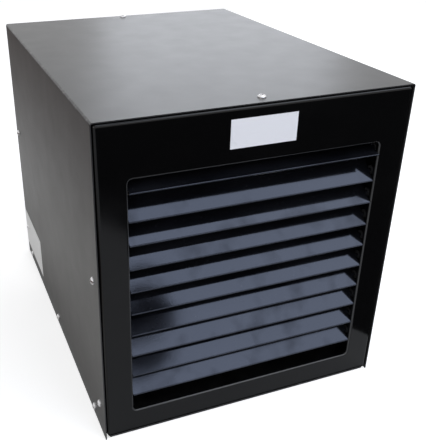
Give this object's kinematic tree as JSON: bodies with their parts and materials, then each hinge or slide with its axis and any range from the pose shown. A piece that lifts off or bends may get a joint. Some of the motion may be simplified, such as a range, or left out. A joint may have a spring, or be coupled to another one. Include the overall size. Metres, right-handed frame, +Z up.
{
  "type": "electric fan heater",
  "caption": "Floor-standing electric fan heater: folded steel cabinet with tilting louvre blades in front and a guarded fan behind.",
  "frame": {"origin": "under the middle of the whole heater, on the standing surface", "axes": "+X to the right of the outlet as seen by someone facing it from the room with the outlet in front, +Y from the outlet towards the inlet, +Z up"},
  "size_m": [0.3788, 0.5126, 0.4034],
  "materials": {
    "satin_black_paint": "satin black powder coat with a fine texture",
    "gloss_black_paint": "smooth gloss black paint",
    "louvre_paint": "smooth gloss black paint that mirrors the light above",
    "white_plate": "bare white plate",
    "silver_plate": "bare silver label stock",
    "zinc_steel": "zinc-coated sheet steel with a faint spangle",
    "bright_steel": "bright zinc-plated steel",
    "cast_aluminium": "as-cast aluminium",
    "copper_wire": "lacquered copper winding",
    "brass": "plain brass",
    "ceramic": "glazed ceramic",
    "pale_polymer": "pale moulded polymer",
    "lead_sleeve": "glass-silk sleeved lead",
    "black_polymer": "black moulded polymer",
    "red_polymer": "red moulded polymer",
    "element_steel": "heat-dulled finned steel"
  },
  "bodies": {
    "cabinet": {"wrap_cover": "satin_black_paint", "front_panel": "gloss_black_paint", "base_tray": "satin_black_paint", "rear_panel": "satin_black_paint", "name_plate": "white_plate", "rating_plate": "silver_plate", "cover_screws": "bright_steel", "louvre_frame": "gloss_black_paint", "pivot_bushes": "black_polymer", "duct_left_side": "zinc_steel", "duct_right_side": "zinc_steel", "duct_deck": "zinc_steel", "heating_element_1": "element_steel", "heating_element_2": "element_steel", "heating_element_3": "element_steel", "element_hanger": "zinc_steel", "element_nuts": "brass", "element_insulators": "ceramic", "element_studs": "bright_steel", "star_busbar": "brass", "inlet_ring": "zinc_steel", "fan_guard": "gloss_black_paint", "guard_screws": "bright_steel", "motor_stator": "zinc_steel", "motor_windings": "copper_wire", "motor_flange": "cast_aluminium", "motor_bearings": "bright_steel", "motor_screws": "bright_steel", "terminal_rail": "zinc_steel", "terminal_block": "pale_polymer", "terminal_clamps": "brass", "contactor": "black_polymer", "contactor_clamps": "brass", "heater_leads": "lead_sleeve", "thermal_cutout": "black_polymer", "cutout_nut": "bright_steel", "gland_body": "black_polymer", "gland_cap": "black_polymer", "gland_locknut": "black_polymer", "earth_stud": "bright_steel", "earth_nuts": "brass"},
    "louvre_01": {"louvre_01": "louvre_paint"},
    "louvre_02": {"louvre_02": "louvre_paint"},
    "louvre_03": {"louvre_03": "louvre_paint"},
    "louvre_04": {"louvre_04": "louvre_paint"},
    "louvre_05": {"louvre_05": "louvre_paint"},
    "louvre_06": {"louvre_06": "louvre_paint"},
    "louvre_07": {"louvre_07": "louvre_paint"},
    "louvre_08": {"louvre_08": "louvre_paint"},
    "louvre_09": {"louvre_09": "louvre_paint"},
    "louvre_10": {"louvre_10": "louvre_paint"},
    "fan_rotor": {"fan_impeller": "black_polymer", "motor_rotor": "cast_aluminium", "motor_shaft": "bright_steel"},
    "reset_button": {"reset_button": "red_polymer"}
  },
  "joints": [
    {"name": "louvre_01_tilt", "type": "hinge", "parent": "cabinet", "child": "louvre_01", "pos_m": [0, -0.24213, 0.0672], "axis": [1, 0, 0], "range_deg": [-65, 25]},
    {"name": "louvre_02_tilt", "type": "hinge", "parent": "cabinet", "child": "louvre_02", "pos_m": [0, -0.24213, 0.096], "axis": [1, 0, 0], "range_deg": [-65, 25]},
    {"name": "louvre_03_tilt", "type": "hinge", "parent": "cabinet", "child": "louvre_03", "pos_m": [0, -0.24213, 0.1248], "axis": [1, 0, 0], "range_deg": [-67, 23]},
    {"name": "louvre_04_tilt", "type": "hinge", "parent": "cabinet", "child": "louvre_04", "pos_m": [0, -0.24213, 0.1536], "axis": [1, 0, 0], "range_deg": [-66, 24]},
    {"name": "louvre_05_tilt", "type": "hinge", "parent": "cabinet", "child": "louvre_05", "pos_m": [0, -0.24213, 0.1824], "axis": [1, 0, 0], "range_deg": [-64, 26]},
    {"name": "louvre_06_tilt", "type": "hinge", "parent": "cabinet", "child": "louvre_06", "pos_m": [0, -0.24213, 0.2112], "axis": [1, 0, 0], "range_deg": [-64, 26]},
    {"name": "louvre_07_tilt", "type": "hinge", "parent": "cabinet", "child": "louvre_07", "pos_m": [0, -0.24213, 0.24], "axis": [1, 0, 0], "range_deg": [-65, 25]},
    {"name": "louvre_08_tilt", "type": "hinge", "parent": "cabinet", "child": "louvre_08", "pos_m": [0, -0.24213, 0.2688], "axis": [1, 0, 0], "range_deg": [-60, 30]},
    {"name": "louvre_09_tilt", "type": "hinge", "parent": "cabinet", "child": "louvre_09", "pos_m": [0, -0.24213, 0.2976], "axis": [1, 0, 0], "range_deg": [-66, 24]},
    {"name": "louvre_10_tilt", "type": "hinge", "parent": "cabinet", "child": "louvre_10", "pos_m": [0, -0.24213, 0.3264], "axis": [1, 0, 0], "range_deg": [-40, 50]},
    {"name": "fan_spin", "type": "hinge", "parent": "cabinet", "child": "fan_rotor", "pos_m": [0, 0.19018, 0.185], "axis": [0, 1, 0], "continuous": true},
    {"name": "reset_press", "type": "slide", "parent": "cabinet", "child": "reset_button", "axis": [0, -1, 0], "range_m": [0, 0.0015], "stiffness_N_per_m": 400, "springref_m": -0.001}
  ]
}
